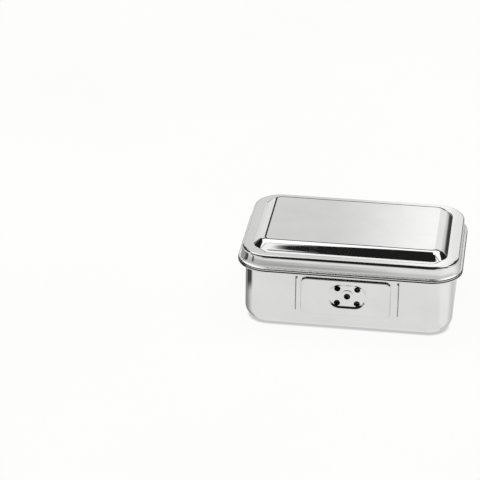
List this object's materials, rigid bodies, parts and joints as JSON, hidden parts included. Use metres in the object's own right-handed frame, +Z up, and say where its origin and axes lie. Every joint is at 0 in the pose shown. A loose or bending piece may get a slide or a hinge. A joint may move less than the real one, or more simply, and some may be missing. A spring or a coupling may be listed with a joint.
{
  "type": "needle sterilization box",
  "caption": "Shallow rectangular polished steel box with rounded corners, a lift-off lid with a raised panel, and sliding steam vents in its long sides.",
  "frame": {"origin": "centre of the flat bottom, on the surface the box stands on", "axes": "+Z up, +X along the long side to the right as seen from the front, the front vent faces -Y"},
  "size_m": [0.215, 0.147, 0.0832],
  "materials": {
    "body_steel": "mirror polished stainless steel",
    "lid_steel": "mirror polished stainless steel",
    "vent_steel": "mirror polished stainless steel",
    "inner_steel": "satin stainless steel"
  },
  "bodies": {
    "box": {"box_body": "body_steel", "front_shutter_guard": "inner_steel", "rear_shutter_guard": "inner_steel"},
    "lid": {"lid": "lid_steel"},
    "front_vent": {"front_vent_cover": "vent_steel", "front_vent_eyelet": "vent_steel", "front_shutter_plate": "inner_steel"},
    "rear_vent": {"rear_vent_cover": "vent_steel", "rear_vent_eyelet": "vent_steel", "rear_shutter_plate": "inner_steel"}
  },
  "joints": [
    {"name": "lid_lift", "type": "slide", "parent": "box", "child": "lid", "axis": [0, 0, 1], "range_m": [0, 0.06]},
    {"name": "front_vent_slide", "type": "slide", "parent": "box", "child": "front_vent", "axis": [1, 0, 0], "range_m": [0, 0.0063]},
    {"name": "rear_vent_slide", "type": "slide", "parent": "box", "child": "rear_vent", "axis": [-1, 0, 0], "range_m": [0, 0.0063]}
  ]
}
